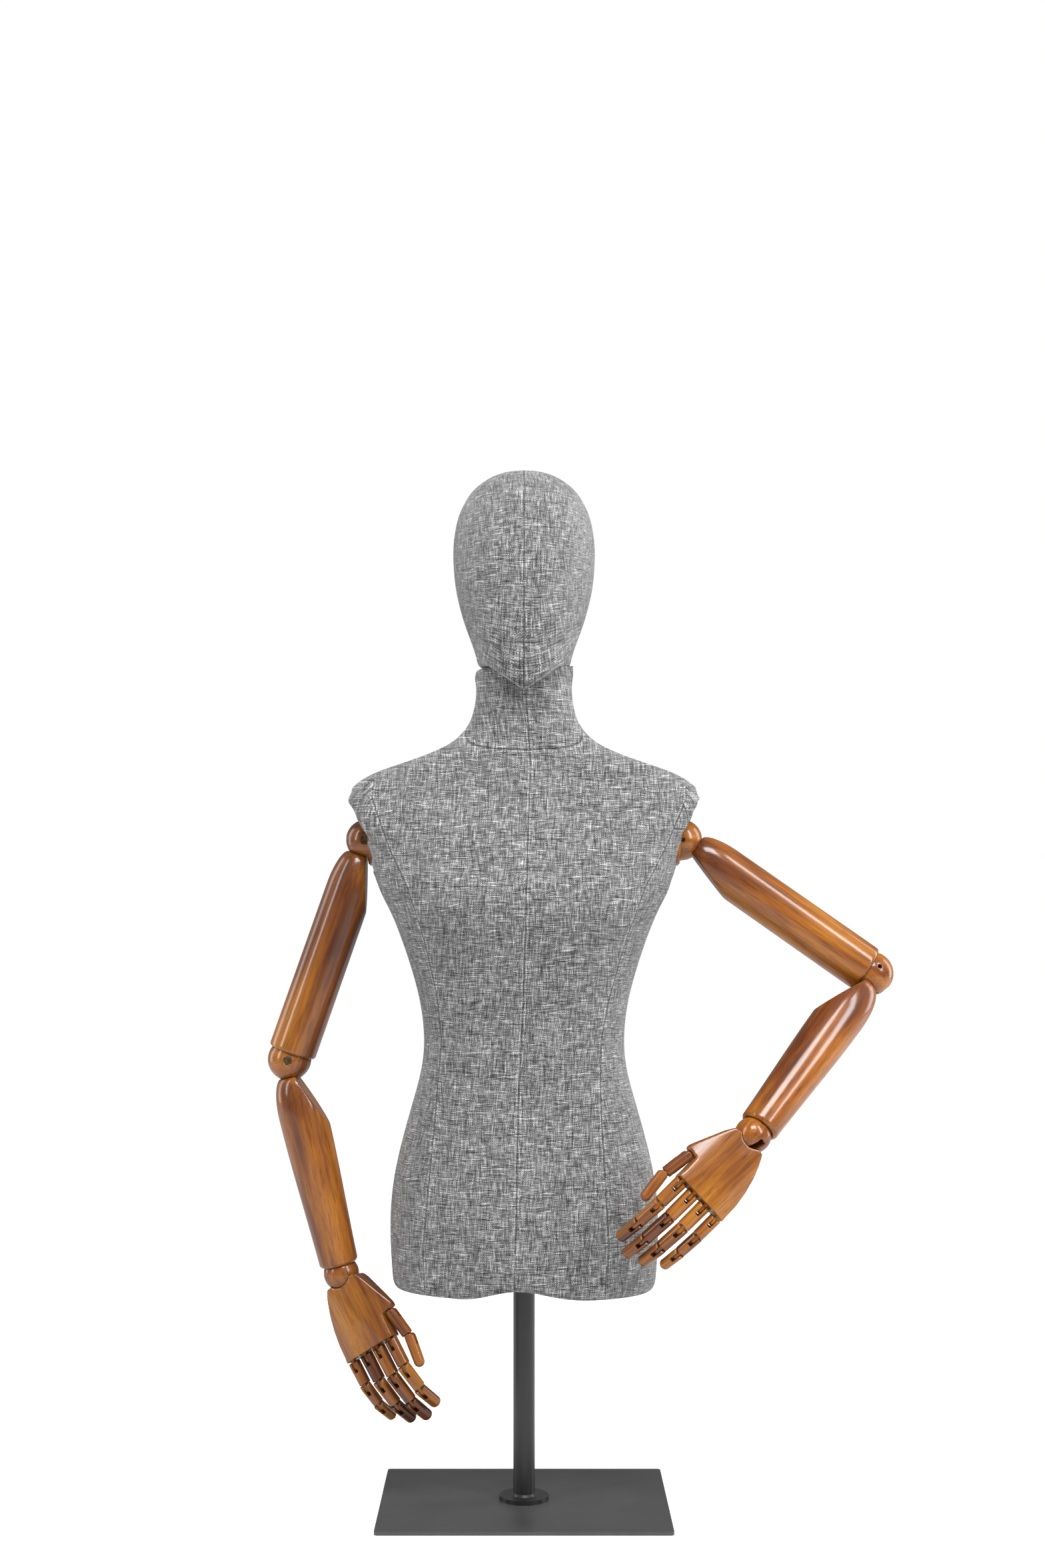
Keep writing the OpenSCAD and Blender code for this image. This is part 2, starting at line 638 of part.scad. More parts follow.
// A tongue that fills a ball's slot: a round eye and a bar down to the limb. The bar
// reaches half to the outer side and inner to the inner side (+X).
module tongue(r, half, inner, t, len, hole) {
    difference() {
        union() {
            rotate([90, 0, 0]) cylinder(h = t, r = r, center = true);
            translate([-half, -t / 2, -len]) cube([half + inner, t, len]);
        }
        rotate([90, 0, 0]) cylinder(h = t + 2, r = hole, center = true);
    }
}

// Wedge that flattens the inner side (+X) of a limb's top, from its mouth to the
// point where the flat runs out.
module limb_flat(start, first, end, full) {
    slope = (full - first) / (end - start);
    low = -1.5 * end;
    far = 200;
    rotate([90, 0, 0]) linear_extrude(200, center = true)
        polygon([[first - slope * (1 + start), 1], [far, 1], [far, low], [first + slope * (-low - start), low]]);
}

// A turned limb: the profile runs down from the mouth that holds the ball.
module turned(profile) {
    rotate_extrude() polygon(concat([[0, profile[0][1]]], profile, [[0, profile[len(profile) - 1][1]]]));
}
// Rounded shoulder of a limb from radius r0 at depth a to radius r1 at depth b.
function round_top(r0, a, r1, b) = [for (i = [0:6])
    let (q = 15 * i) [r0 + (r1 - r0) * sin(q), -a - (b - a) * (1 - cos(q))]];

upper_r = upper_arm_d / 2;
cup_depth = 8.6;                 // the ball's centre below the limb's end face
mouth = 18;

module upper_arm(s) {
    end = upper_arm_len - cup_depth;
    edge = 3;
    color(wood) on_upper_arm(s) {
        difference() {
            turned(concat(round_top(14.5, mouth, upper_r, 62),
                [[upper_r + 0.5, -end + edge], [upper_r + 0.5 - edge * 0.3, -end + edge * 0.3],
                 [upper_r + 0.5 - edge, -end]]));
            sphere(r = shoulder_r + ball_gap);
            limb_flat(28.8, 10.0, 80.8, upper_r + 0.3);
            translate([0, 0, -upper_arm_len]) sphere(r = elbow_r + ball_gap);
            translate([0, 0, -upper_arm_len]) cylinder(h = 60, r = dowel_r + run_gap);
        }
        tongue(tongue_r, tongue_half, tongue_half, tongue_t, mouth + 10, screw_r + run_gap);
    }
}

fore_r = forearm_d / 2;
fore_end_r = forearm_end_d / 2;
fore_end = forearm_len - 10.8;

module forearm(s) {
    edge = 3;
    bulge = 66;
    color(wood) on_forearm(s) {
        difference() {
            turned(concat(round_top(14, mouth + 1, fore_r, bulge),
                [for (i = [1:8])
                    let (t = i / 8)
                    [mix(fore_r, fore_end_r, smooth(0, 1.25, t) * 1.03), -mix(bulge, fore_end - edge, t)]],
                [[fore_end_r - edge * 0.6, -fore_end]]));
            sphere(r = elbow_r + ball_gap);
            limb_flat(25, 5, 82.6, fore_r - 0.5);
            translate([0, 0, -forearm_len]) sphere(r = wrist_r + ball_gap);
            translate([0, 0, -forearm_len]) cylinder(h = 50, r = wrist_dowel_r + run_gap);
        }
        tongue(tongue_r, tongue_half, 3.4, tongue_t, mouth + 10, screw_r + run_gap);
    }
}

wrist_tongue_t = 8;
wrist_half = 6;
wrist_pin_r = 2;
wrist_stop = 55;                 // travel of the wrist either way from straight

// The wrist's slot runs from back to front, so the hand nods towards the palm.
module wrist_ball(s) {
    slot = wrist_tongue_t + 2 * slot_gap;
    color(wood) on_wrist(s) {
        difference() {
            union() {
                sphere(r = wrist_r);
                cylinder(h = 36, r = wrist_dowel_r);
            }
            rotate([0, 90, 0]) cylinder(h = slot, r = 10 + face_gap, center = true);
            rotate([90, 0, 90]) linear_extrude(slot, center = true)
                polygon(sweep_outline(-wrist_stop - 2, wrist_stop + 2, wrist_half + face_gap, 2 * wrist_r));
            rotate([0, 90, 0]) cylinder(h = 4 * wrist_r, r = wrist_pin_r + run_gap, center = true);
        }
        rotate([0, 90, 0]) cylinder(h = 2 * wrist_r - 2, r = wrist_pin_r, center = true);
    }
}

// ================= Hands =================
// The hand hangs along -Z, its back to -Y and its thumb to +X.

finger_r = finger_d / 2;
pin_r = finger_pin_d / 2;
tongue_h = finger_r * 0.64;
palm_end = palm_len - finger_r - face_gap;
KNUCKLES = [for (i = [0:3]) (1.2 - i) * knuckle_gap];
// Segment lengths of each finger, knuckle first, and its radius against finger_r.
FINGER_LEN = [[33, 31, 27], [36, 35, 28], [33, 32, 27], [28, 26, 23]];
FINGER_FAT = [1, 1, 1, 0.9];
THUMB_LEN = [34, 33];
THUMB_AT = [36.5, 3, -palm_len + 29];
thumb_down = 8;                  // the thumb leans this much towards the palm

module finger_tongue(r, to) {
    h = r * 0.64;
    difference() {
        union() {
            rotate([0, 90, 0]) cylinder(h = finger_tongue_t, r = h, center = true);
            translate([-finger_tongue_t / 2, -h, 0]) cube([finger_tongue_t, 2 * h, to]);
        }
        rotate([0, 90, 0]) cylinder(h = finger_tongue_t + 2, r = pin_r + run_gap, center = true);
    }
}

// One finger segment, its hinge at the origin and its length down -Z. Its kerf is
// cut deeper on the back (-Y) than on the palm side.
module segment(r, length, r_end, last) {
    kerf = finger_tongue_t + 2 * slot_gap;
    body = last ? length - r_end : length - r_end - face_gap;
    difference() {
        union() {
            intersection() {
                translate([0, 0, -1]) cylinder(h = r + 2, r = r);
                rotate([0, 90, 0]) cylinder(h = 2 * r + 2, r = r, center = true);
            }
            translate([0, 0, -body]) cylinder(h = body, r1 = r_end, r2 = r);
            if (last) translate([0, 0, -body]) sphere(r = r_end);
        }
        translate([-kerf / 2, -r - 1, -r * 0.64 - 0.4]) cube([kerf, 2 * r + 2, 3 * r]);
        translate([-kerf / 2, -r - 1, -r * 0.64 - 3]) cube([kerf, r * 1.3 + 1, 3]);
        rotate([0, 90, 0]) cylinder(h = 2 * r + 2, r = pin_r + run_gap, center = true);
    }
    rotate([0, 90, 0]) cylinder(h = 2 * r - 1, r = pin_r, center = true);
    if (!last) translate([0, 0, -length]) finger_tongue(r_end, r_end + face_gap + 4);
}

function finger_radius(f, j) = finger_r * FINGER_FAT[f] * (1 - 0.04 * j);

module on_finger(s, f, j) {
    on_palm(s) translate([KNUCKLES[f], 0, -palm_len]) rotate([knuckle_bend[s], 0, 0])
        if (j == 0) children();
        else translate([0, 0, -FINGER_LEN[f][0]]) rotate([middle_bend[s], 0, 0])
            if (j == 1) children();
            else translate([0, 0, -FINGER_LEN[f][1]]) rotate([tip_bend[s], 0, 0]) children();
}
module finger(s, f, j) {
    color(wood) on_finger(s, f, j)
        segment(finger_radius(f, j), FINGER_LEN[f][j], finger_radius(f, j + 1), j == 2);
}

module on_thumb(s, j) {
    on_palm(s) translate(THUMB_AT) rotate([thumb_down, -thumb_out[s], 0])
        if (j == 0) children();
        else translate([0, 0, -THUMB_LEN[0]]) rotate([0, thumb_bend[s], 0]) children();
}
module thumb(s, j) {
    color(wood) on_thumb(s, j) rotate([0, 0, 90])
        segment(finger_r * (1 - 0.04 * j), THUMB_LEN[j], finger_r * (0.96 - 0.06 * j), j == 1);
}

module palm(s) {
    heel = 10.5;
    thumb_end = -THUMB_AT[2] - finger_r - face_gap;
    index_edge = KNUCKLES[0] + finger_r;
    little_edge = KNUCKLES[3] - finger_r;
    outline = [[-20.5, -heel], [-27, -22], [-33, -37], [-37.5, -54], [-40, -72], [little_edge, -palm_end],
        [index_edge, -palm_end], [index_edge, -thumb_end - 1], [index_edge + 14, -thumb_end + 1],
        [index_edge + 14, -thumb_end + 6], [38, -48], [31, -32], [24.5, -17], [20.5, -heel]];
    side = [[-13, -heel], [-14.5, -30], [-14, -60], [-11.5, -palm_end], [9.5, -palm_end], [12.5, -62],
        [14, -34], [12.5, -heel]];
    color(wood) on_palm(s) {
        difference() {
            intersection() {
                rotate([90, 0, 0]) linear_extrude(60, center = true) polygon(outline);
                rotate([90, 0, 90]) linear_extrude(120, center = true) polygon(side);
                translate([-2, 64, -150]) cylinder(h = 200, r = 78.5);
                translate([0, -116, -150]) cylinder(h = 200, r = 130);
            }
            sphere(r = wrist_r + ball_gap);
            translate(THUMB_AT) rotate([thumb_down, -thumb_out[s], 0]) rotate([90, 0, 0])
                cylinder(h = 40, r = finger_r + face_gap, center = true);
        }
        rotate([0, 0, 90 - hand_roll[s]]) tongue(10, wrist_half, wrist_half, wrist_tongue_t, heel + 14, wrist_pin_r + run_gap);
        for (f = [0:3])
            translate([KNUCKLES[f], 0, -palm_len])
                finger_tongue(finger_radius(f, 0), finger_r + face_gap + 6);
        translate(THUMB_AT) rotate([thumb_down, -thumb_out[s], 0]) rotate([0, 0, 90])
            finger_tongue(finger_r, finger_r + face_gap + 6);
    }
}

// ================= The nodes =================

base_plate();
pole_flange();
pole();
pole_bolt();
pole_bush();
pole_socket();
bottom_board();
thumb_screw();
body_screws();
torso_form();
torso_cover();
shoulder_discs();
neck_peg();
head_form();
head_cover();
for (s = [0, 1]) {
    shoulder_ball(s);
    shoulder_screw(s);
    upper_arm(s);
    elbow_ball(s);
    elbow_screw(s);
    forearm(s);
    wrist_ball(s);
    palm(s);
    for (f = [0:3]) for (j = [0:2])
        finger(s, f, j);
    for (j = [0, 1])
        thumb(s, j);
}
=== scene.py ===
import json
import math
import bmesh
import bpy
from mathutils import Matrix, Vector
from mathutils.kdtree import KDTree


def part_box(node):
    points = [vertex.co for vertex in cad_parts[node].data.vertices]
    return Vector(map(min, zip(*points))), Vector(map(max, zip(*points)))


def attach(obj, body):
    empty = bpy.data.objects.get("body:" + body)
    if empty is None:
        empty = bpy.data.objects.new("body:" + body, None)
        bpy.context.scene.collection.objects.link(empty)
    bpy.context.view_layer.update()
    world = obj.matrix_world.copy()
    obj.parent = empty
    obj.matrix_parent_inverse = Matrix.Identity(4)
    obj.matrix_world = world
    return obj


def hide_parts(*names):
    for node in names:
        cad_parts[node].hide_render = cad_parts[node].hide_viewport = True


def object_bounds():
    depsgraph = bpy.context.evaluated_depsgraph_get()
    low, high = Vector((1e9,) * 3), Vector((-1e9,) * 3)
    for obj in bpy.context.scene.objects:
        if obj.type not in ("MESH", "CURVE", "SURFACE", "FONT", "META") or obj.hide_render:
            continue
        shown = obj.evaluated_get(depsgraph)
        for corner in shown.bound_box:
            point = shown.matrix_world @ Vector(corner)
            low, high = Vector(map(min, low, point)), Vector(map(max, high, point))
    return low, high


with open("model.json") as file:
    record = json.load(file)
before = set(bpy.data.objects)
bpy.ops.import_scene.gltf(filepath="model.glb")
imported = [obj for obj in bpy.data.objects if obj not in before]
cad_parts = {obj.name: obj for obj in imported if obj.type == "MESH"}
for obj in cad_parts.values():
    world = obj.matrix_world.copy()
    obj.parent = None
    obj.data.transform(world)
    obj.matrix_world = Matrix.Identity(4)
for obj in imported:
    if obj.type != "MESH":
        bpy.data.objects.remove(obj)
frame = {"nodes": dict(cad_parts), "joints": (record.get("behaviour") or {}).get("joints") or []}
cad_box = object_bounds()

scene = bpy.context.scene
nodes = frame["nodes"]
joints = {j["name"]: j for j in frame["joints"]}
hem = joints["torso_swivel"]["pos_m"][2]
neck_top = joints["head_turn"]["pos_m"][2]
floor_level = cad_box[0][2]


# ---------------- Camera, floor and light ----------------

def set_camera():
    data = bpy.data.cameras.new("camera")
    data.sensor_fit = "VERTICAL"
    data.sensor_height = 36.0
    data.lens = 50.0
    data.shift_x = -0.001
    data.shift_y = 0.0612
    cam = bpy.data.objects.new("camera", data)
    cam.location = (0.0, -2.513, 0.718)
    cam.rotation_euler = (math.radians(90), 0, 0)
    scene.collection.objects.link(cam)
    scene.camera = cam


def soft_light(name, at, aim, width, height, power):
    data = bpy.data.lights.new(name, "AREA")
    data.shape = "RECTANGLE"
    data.size, data.size_y = width, height
    data.energy = power
    lamp = bpy.data.objects.new(name, data)
    lamp.location = at
    lamp.rotation_euler = (Vector(aim) - Vector(at)).to_track_quat("-Z", "Y").to_euler()
    scene.collection.objects.link(lamp)


WORLD_LIGHT, WORLD_SEEN = 0.24, 1.0
FLOOR_GLOW = 0.78            # of the floor as the camera sees it


def studio():
    """A white room that lights the figure less than it shows, with a pale floor and soft lamps."""
    world = bpy.data.worlds.new("studio")
    world.use_nodes = True
    back = world.node_tree.nodes["Background"]
    back.inputs["Color"].default_value = (1, 1, 1, 1)
    seen = world.node_tree.nodes.new("ShaderNodeLightPath")
    level = world.node_tree.nodes.new("ShaderNodeMapRange")
    level.inputs["To Min"].default_value = WORLD_LIGHT
    level.inputs["To Max"].default_value = WORLD_SEEN
    world.node_tree.links.new(seen.outputs["Is Camera Ray"], level.inputs["Value"])
    world.node_tree.links.new(level.outputs["Result"], back.inputs["Strength"])
    scene.world = world
    scene.view_settings.view_transform = "Standard"
    bm = bmesh.new()
    bmesh.ops.create_grid(bm, x_segments=2, y_segments=2, size=12.0)
    bmesh.ops.translate(bm, verts=bm.verts, vec=(0, 0, floor_level - 0.0005))
    mesh = bpy.data.meshes.new("floor")
    bm.to_mesh(mesh)
    bm.free()
    floor = bpy.data.objects.new("floor", mesh)
    scene.collection.objects.link(floor)
    m, n, wire, base = new_material("studio_floor")
    base.inputs["Base Color"].default_value = (0.86, 0.86, 0.86, 1)
    base.inputs["Roughness"].default_value = 0.9
    base.inputs["Specular IOR Level"].default_value = 0.1
    seen = n("ShaderNodeLightPath")
    glow = n("ShaderNodeMapRange")
    glow.inputs["To Max"].default_value = FLOOR_GLOW
    wire(seen.outputs["Is Camera Ray"], glow.inputs["Value"])
    wire(glow.outputs["Result"], base.inputs["Emission Strength"])
    base.inputs["Emission Color"].default_value = (1, 1, 1, 1)
    mesh.materials.append(m)
    middle = (0, 0, 0.85)
    soft_light("left_rim", (-2.4, 0.7, 1.3), middle, 0.8, 2.4, 24)
    soft_light("right_rim", (2.4, 0.7, 1.3), middle, 0.8, 2.4, 34)
    soft_light("left_front", (-2.2, -1.2, 1.8), middle, 0.35, 2.2, 30)
    soft_light("right_front", (2.0, -1.5, 2.1), middle, 0.5, 2.0, 62)
    soft_light("overhead", (0.25, -1.8, 2.9), middle, 1.4, 1.0, 92)


# ---------------- Materials ----------------

def new_material(name):
    m = bpy.data.materials.new(name)
    m.use_nodes = True
    tree = m.node_tree
    base = tree.nodes["Principled BSDF"]

    def node(kind, **values):
        made = tree.nodes.new(kind)
        for key, value in values.items():
            if key in made.bl_rna.properties:
                setattr(made, key, value)
            else:
                made.inputs[key.replace("_", " ")].default_value = value
        return made

    def wire(out, into):
        tree.links.new(out, into)
    return m, node, wire, base


def stretched(node, wire, source, scale, turn=(0, 0, 0), shift=(0, 0, 0)):
    place = node("ShaderNodeMapping")
    place.inputs["Scale"].default_value = scale
    place.inputs["Rotation"].default_value = turn
    place.inputs["Location"].default_value = shift
    wire(source, place.inputs["Vector"])
    return place.outputs["Vector"]


def sums(node, wire, kind, a, b=None, c=None, clamp=False):
    made = node("ShaderNodeMath", operation=kind, use_clamp=clamp)
    for i, value in enumerate((a, b, c)):
        if value is None:
            continue
        if isinstance(value, (int, float)):
            made.inputs[i].default_value = value
        else:
            wire(value, made.inputs[i])
    return made.outputs[0]


def ramp(node, wire, source, stops):
    made = node("ShaderNodeValToRGB")
    bar = made.color_ramp
    while len(bar.elements) < len(stops):
        bar.elements.new(0.5)
    for spot, (at, tone) in zip(bar.elements, stops):
        spot.position = at
        spot.color = (*tone, 1) if isinstance(tone, tuple) else (tone, tone, tone, 1)
    wire(source, made.inputs["Fac"])
    return made.outputs["Color"]


def object_place(node):
    return node("ShaderNodeTexCoord").outputs["Object"]


def noise(node, wire, vector, detail=2.0, roughness=0.5, scale=1.0):
    made = node("ShaderNodeTexNoise")
    made.inputs["Scale"].default_value = scale
    made.inputs["Detail"].default_value = detail
    made.inputs["Roughness"].default_value = roughness
    wire(vector, made.inputs["Vector"])
    return made.outputs["Fac"]


def bump(node, wire, height, base, strength, distance):
    made = node("ShaderNodeBump")
    made.inputs["Strength"].default_value = strength
    made.inputs["Distance"].default_value = distance
    wire(height, made.inputs["Height"])
    wire(made.outputs["Normal"], base.inputs["Normal"])


def band(node, wire, source, low, high, at_low=1.0, at_high=0.0):
    """Smooth step of a value from at_low below low to at_high above high."""
    made = node("ShaderNodeMapRange", interpolation_type="SMOOTHSTEP")
    for key, value in (("From Min", low), ("From Max", high), ("To Min", at_low), ("To Max", at_high)):
        made.inputs[key].default_value = value
    wire(source, made.inputs["Value"])
    return made.outputs["Result"]


def attribute(node, name):
    return node("ShaderNodeAttribute", attribute_name=name).outputs["Fac"]


def stained_wood(name, grain, seed, tone=1.0):
    """Orange-brown stained wood under lacquer, with its grain along the given direction."""
    m, node, wire, base = new_material(name)
    turn = Vector(grain).rotation_difference(Vector((0, 0, 1))).to_euler()
    along = stretched(node, wire, object_place(node), (1, 1, 1), turn)
    offset = (seed * 1.7, seed * 0.9, seed * 3.1)
    broad = noise(node, wire, stretched(node, wire, along, (24, 24, 5.0), shift=offset), 3.0, 0.55)
    streak = noise(node, wire, stretched(node, wire, along, (170, 170, 5.5), shift=offset), 3.0, 0.6)
    pores = noise(node, wire, stretched(node, wire, along, (1100, 1100, 40), shift=offset), 1.0, 0.5)
    mixed = sums(node, wire, "MULTIPLY_ADD", streak, 0.34, sums(node, wire, "MULTIPLY", broad, 0.86))
    mixed = sums(node, wire, "SUBTRACT", mixed, 0.10)
    stops = [(0.28, (0.050, 0.010, 0.0008)), (0.42, (0.130, 0.032, 0.002)), (0.54, (0.25, 0.078, 0.005)),
             (0.70, (0.40, 0.150, 0.012))]
    # tone scales every colour of the stain; the arms use it to paint light and shade onto their pieces.
    colour = ramp(node, wire, mixed, [(at, tuple(tone * c for c in rgb)) for at, rgb in stops])
    dark = node("ShaderNodeMix", data_type="RGBA", blend_type="MULTIPLY")
    wire(band(node, wire, pores, 0.36, 0.46, 0.45, 0.0), dark.inputs["Factor"])
    wire(colour, dark.inputs[6])
    dark.inputs[7].default_value = (0.25, 0.14, 0.08, 1)
    wire(dark.outputs[2], base.inputs["Base Color"])
    wire(band(node, wire, streak, 0.3, 0.7, 0.56, 0.50), base.inputs["Roughness"])
    base.inputs["Specular IOR Level"].default_value = 0.18
    base.inputs["Coat Weight"].default_value = 0.7
    base.inputs["Coat Roughness"].default_value = 0.16
    bump(node, wire, sums(node, wire, "ADD", pores, streak), base, 0.05, 0.0003)
    return m


THREAD_PITCH = 0.0012
STITCH_LENGTH = 0.0042
STITCH_AWAY = 0.0022         # distance of the stitches from their seam


def woven_cloth(name, seams):
    """Grey melange linen: warp and weft threads of uneven tone, with sewn seams."""
    m, node, wire, base = new_material(name)
    u = attribute(node, "across")
    v = attribute(node, "up")
    if "princess" in seams:
        inside = sums(node, wire, "GREATER_THAN", attribute(node, "princess"), 0.0)
        pick = node("ShaderNodeMix", data_type="FLOAT")
        wire(inside, pick.inputs[0])
        wire(attribute(node, "round"), pick.inputs[2])
        wire(u, pick.inputs[3])
        u = pick.outputs[0]
    both = node("ShaderNodeCombineXYZ")
    wire(u, both.inputs[0])
    wire(v, both.inputs[1])
    lie = both.outputs[0]
    waver = noise(node, wire, stretched(node, wire, lie, (22, 22, 1)), 1.0, 0.5)
    u2 = sums(node, wire, "MULTIPLY_ADD", waver, 0.004, u)
    v2 = sums(node, wire, "MULTIPLY_ADD", waver, 0.005, v)
    both2 = node("ShaderNodeCombineXYZ")
    wire(u2, both2.inputs[0])
    wire(v2, both2.inputs[1])
    lie = both2.outputs[0]
    su = sums(node, wire, "SINE", sums(node, wire, "MULTIPLY", u2, math.pi / THREAD_PITCH))
    sv = sums(node, wire, "SINE", sums(node, wire, "MULTIPLY", v2, math.pi / THREAD_PITCH))
    over = band(node, wire, sums(node, wire, "MULTIPLY", su, sv), -0.35, 0.35, 0.0, 1.0)
    weft = noise(node, wire, stretched(node, wire, lie, (95, 860, 1), shift=(0, 0, 3.1)), 2.5, 0.62)
    warp = noise(node, wire, stretched(node, wire, lie, (860, 85, 1), shift=(0, 0, 7.7)), 2.5, 0.62)
    slub_h = noise(node, wire, stretched(node, wire, lie, (48, 760, 1), shift=(0, 0, 1.3)), 1.0)
    slub_h = band(node, wire, slub_h, 0.62, 0.74, 0.0, 1.0)
    slub_v = noise(node, wire, stretched(node, wire, lie, (760, 44, 1), shift=(0, 0, 5.9)), 1.0)
    slub_v = band(node, wire, slub_v, 0.62, 0.74, 0.0, 1.0)
    tone = node("ShaderNodeMix", data_type="FLOAT")
    wire(over, tone.inputs[0])
    wire(warp, tone.inputs[2])
    wire(weft, tone.inputs[3])
    value = sums(node, wire, "MULTIPLY_ADD", slub_h, 0.14, tone.outputs[0])
    value = sums(node, wire, "MULTIPLY_ADD", slub_v, 0.10, value)
    for lay, depth in (((42, 820, 1), -0.11), ((820, 48, 1), -0.09)):
        dark = noise(node, wire, stretched(node, wire, lie, lay, shift=(0, 0, 9.4)), 1.0)
        dark = band(node, wire, dark, 0.58, 0.70, 0.0, 1.0)
        value = sums(node, wire, "MULTIPLY_ADD", dark, depth, value)
    crowns = sums(node, wire, "ABSOLUTE", sums(node, wire, "MULTIPLY", su, sv))
    height = sums(node, wire, "MULTIPLY_ADD", crowns, 0.5, sums(node, wire, "MULTIPLY", tone.outputs[0], 0.9))
    for seam in seams:
        away = attribute(node, seam)
        off = sums(node, wire, "ABSOLUTE", away)
        line = band(node, wire, off, 0.0001, 0.0010)
        run = u if seam == "collar" else v
        dash = sums(node, wire, "SINE", sums(node, wire, "MULTIPLY", run, 2 * math.pi / STITCH_LENGTH))
        dash = band(node, wire, dash, -0.55, -0.15, 0.0, 1.0)
        thread = sums(node, wire, "ABSOLUTE", sums(node, wire, "SUBTRACT", off, STITCH_AWAY))
        thread = band(node, wire, thread, 0.0004, 0.0010)
        sewn = sums(node, wire, "MULTIPLY", thread, dash)
        value = sums(node, wire, "MULTIPLY_ADD", line, -0.11, value)
        value = sums(node, wire, "MULTIPLY_ADD", sewn, 0.07, value)
        fold = band(node, wire, off, 0.0004, 0.0032, -0.9, 0.0)
        height = sums(node, wire, "ADD", height, fold)
        height = sums(node, wire, "MULTIPLY_ADD", sewn, 0.5, height)
    greys = [(0.27, 0.008), (0.39, 0.042), (0.49, 0.118), (0.59, 0.27), (0.73, 0.60)]
    colour = ramp(node, wire, value, greys)
    wire(colour, base.inputs["Base Color"])
    base.inputs["Roughness"].default_value = 0.88
    base.inputs["Specular IOR Level"].default_value = 0.25
    base.inputs["Sheen Weight"].default_value = 0.25
    base.inputs["Sheen Roughness"].default_value = 0.5
    bump(node, wire, height, base, 0.55, 0.0011)
    return m


def painted_metal(name, tone, rough, metal):
    m, node, wire, base = new_material(name)
    place = object_place(node)
    peel = noise(node, wire, stretched(node, wire, place, (900, 900, 900)), 2.0)
    cloud = noise(node, wire, stretched(node, wire, place, (14, 14, 14)), 3.0)
    wire(ramp(node, wire, cloud, [(0.35, tone * 0.9), (0.65, tone * 1.1)]), base.inputs["Base Color"])
    wire(band(node, wire, cloud, 0.3, 0.7, rough * 0.92, rough * 1.08), base.inputs["Roughness"])
    base.inputs["Metallic"].default_value = metal
    bump(node, wire, peel, base, 0.06, 0.0003)
    return m


def worn_bronze(name):
    m, node, wire, base = new_material(name)
    brushed = noise(node, wire, stretched(node, wire, object_place(node), (300, 4000, 300)), 2.0)
    bronze = ramp(node, wire, brushed, [(0.3, (0.09, 0.065, 0.04)), (0.7, (0.20, 0.15, 0.09))])
    wire(bronze, base.inputs["Base Color"])
    base.inputs["Metallic"].default_value = 1.0
    wire(band(node, wire, brushed, 0.3, 0.7, 0.26, 0.40), base.inputs["Roughness"])
    return m


def moulded(name, tone, rough):
    m, node, wire, base = new_material(name)
    grainy = noise(node, wire, stretched(node, wire, object_place(node), (420, 420, 420)), 3.0)
    darker = tuple(c * 0.92 for c in tone)
    wire(ramp(node, wire, grainy, [(0.3, darker), (0.7, tone)]), base.inputs["Base Color"])
    base.inputs["Roughness"].default_value = rough
    bump(node, wire, grainy, base, 0.15, 0.0004)
    return m


def plain_board(name):
    m, node, wire, base = new_material(name)
    chips = noise(node, wire, stretched(node, wire, object_place(node), (260, 60, 260)), 4.0, 0.7)
    browns = ramp(node, wire, chips, [(0.3, (0.22, 0.13, 0.06)), (0.7, (0.46, 0.31, 0.17))])
    wire(browns, base.inputs["Base Color"])
    base.inputs["Roughness"].default_value = 0.8
    bump(node, wire, chips, base, 0.2, 0.0004)
    return m


# ---------------- Pieces ----------------

def shape_of(name):
    """Mesh of a CAD node with its loose triangles joined up."""
    bm = bmesh.new()
    bm.from_mesh(nodes[name].data)
    bmesh.ops.remove_doubles(bm, verts=bm.verts, dist=2e-6)
    return bm


def piece(name, bm, body, material, slot, *stands_for):
    """Makes an object that rides on a body and stands for the named CAD nodes."""
    mesh = bpy.data.meshes.new(name)
    bm.to_mesh(mesh)
    bm.free()
    made = bpy.data.objects.new(name, mesh)
    scene.collection.objects.link(made)
    mesh.materials.clear()
    mesh.materials.append(material)
    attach(made, body)
    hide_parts(*stands_for)
    return made


def rounded_through(made, levels):
    """Subdivides a piece so that its smooth surface still passes through its own vertices."""
    rounder = made.modifiers.new("rounder", "SUBSURF")
    rounder.levels = rounder.render_levels = levels
    aim = [v.co.copy() for v in made.data.vertices]
    for _ in range(2):
        graph = bpy.context.evaluated_depsgraph_get()
        graph.update()
        now = made.evaluated_get(graph).data
        shift = [a - now.vertices[i].co for i, a in enumerate(aim)]
        for v, d in zip(made.data.vertices, shift):
            v.co += d * 0.5
        made.data.update()
    settled_mesh(made)


def settled_mesh(made):
    """Applies a piece's modifiers."""
    graph = bpy.context.evaluated_depsgraph_get()
    graph.update()
    final = made.evaluated_get(graph)
    mesh = bpy.data.meshes.new_from_object(final, preserve_all_data_layers=True, depsgraph=graph)
    old = made.data
    made.modifiers.clear()
    made.data = mesh
    bpy.data.meshes.remove(old)


def smooth_faces(made):
    for face in made.data.polygons:
        face.use_smooth = True


def outer_wall(cover, form):
    """The outer wall of a cloth cover: the faces that the form under it doesn't share."""
    under = KDTree(len(nodes[form].data.vertices))
    for i, v in enumerate(nodes[form].data.vertices):
        under.insert(v.co, i)
    under.balance()
    bm = shape_of(cover)
    shared = [v for v in bm.verts if under.find(v.co)[2] < 2e-5]
    bmesh.ops.delete(bm, geom=shared, context="VERTS")
    bmesh.ops.join_triangles(bm, faces=bm.faces, angle_face_threshold=math.radians(60),
                             angle_shape_threshold=math.radians(180))
    return bm


